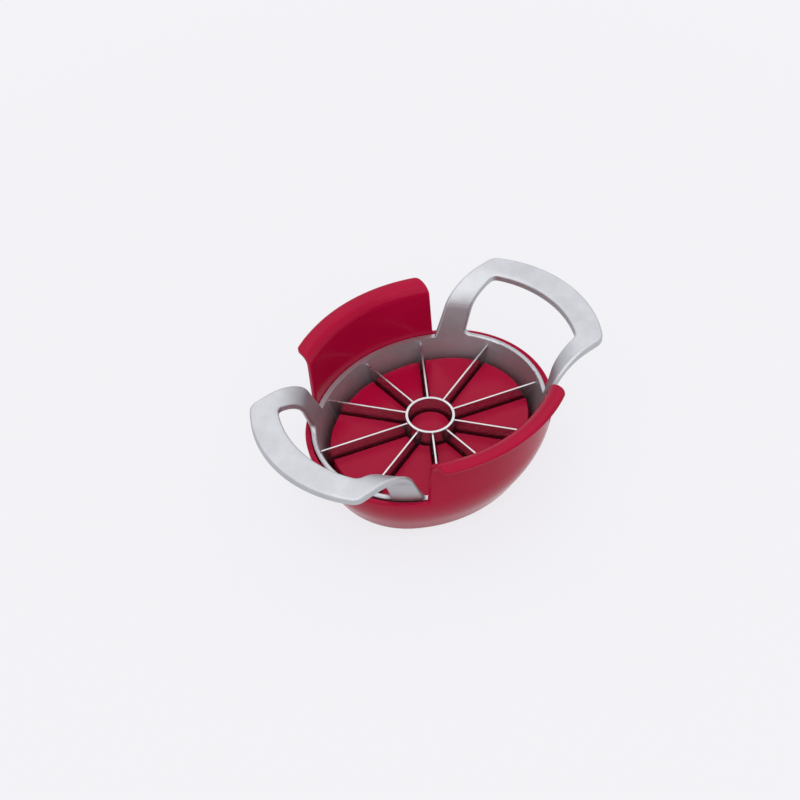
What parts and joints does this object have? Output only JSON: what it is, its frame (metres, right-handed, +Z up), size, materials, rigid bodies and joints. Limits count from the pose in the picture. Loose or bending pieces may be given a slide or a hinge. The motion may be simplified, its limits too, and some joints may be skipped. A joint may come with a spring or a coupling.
{
  "type": "apple slicer",
  "caption": "Two-handled cutter frame with radial blades round a core ring, standing in an oval bowl with raised side walls; pressed down, it divides and cores an apple.",
  "frame": {"origin": "centre of the bowl's underside, on the surface that the slicer stands on", "axes": "+X along the two handles, +Y across them through the high side walls, +Z up"},
  "size_m": [0.186, 0.1272, 0.0642],
  "materials": {
    "bowl_plastic": "glossy moulded plastic, dark raspberry red",
    "cast_frame": "satin, fine grain of a blasted casting",
    "blade_steel": "ground and brushed"
  },
  "bodies": {
    "base": {"base_bowl": "bowl_plastic"},
    "cutter": {"cutter_frame": "cast_frame", "core_ring": "blade_steel", "blade_01": "blade_steel", "blade_02": "blade_steel", "blade_03": "blade_steel", "blade_04": "blade_steel", "blade_05": "blade_steel", "blade_06": "blade_steel", "blade_07": "blade_steel", "blade_08": "blade_steel", "blade_09": "blade_steel", "blade_10": "blade_steel"}
  },
  "joints": [
    {"name": "cutter_lift", "type": "slide", "parent": "base", "child": "cutter", "axis": [0, 0, 1], "range_m": [0, 0.07]}
  ]
}
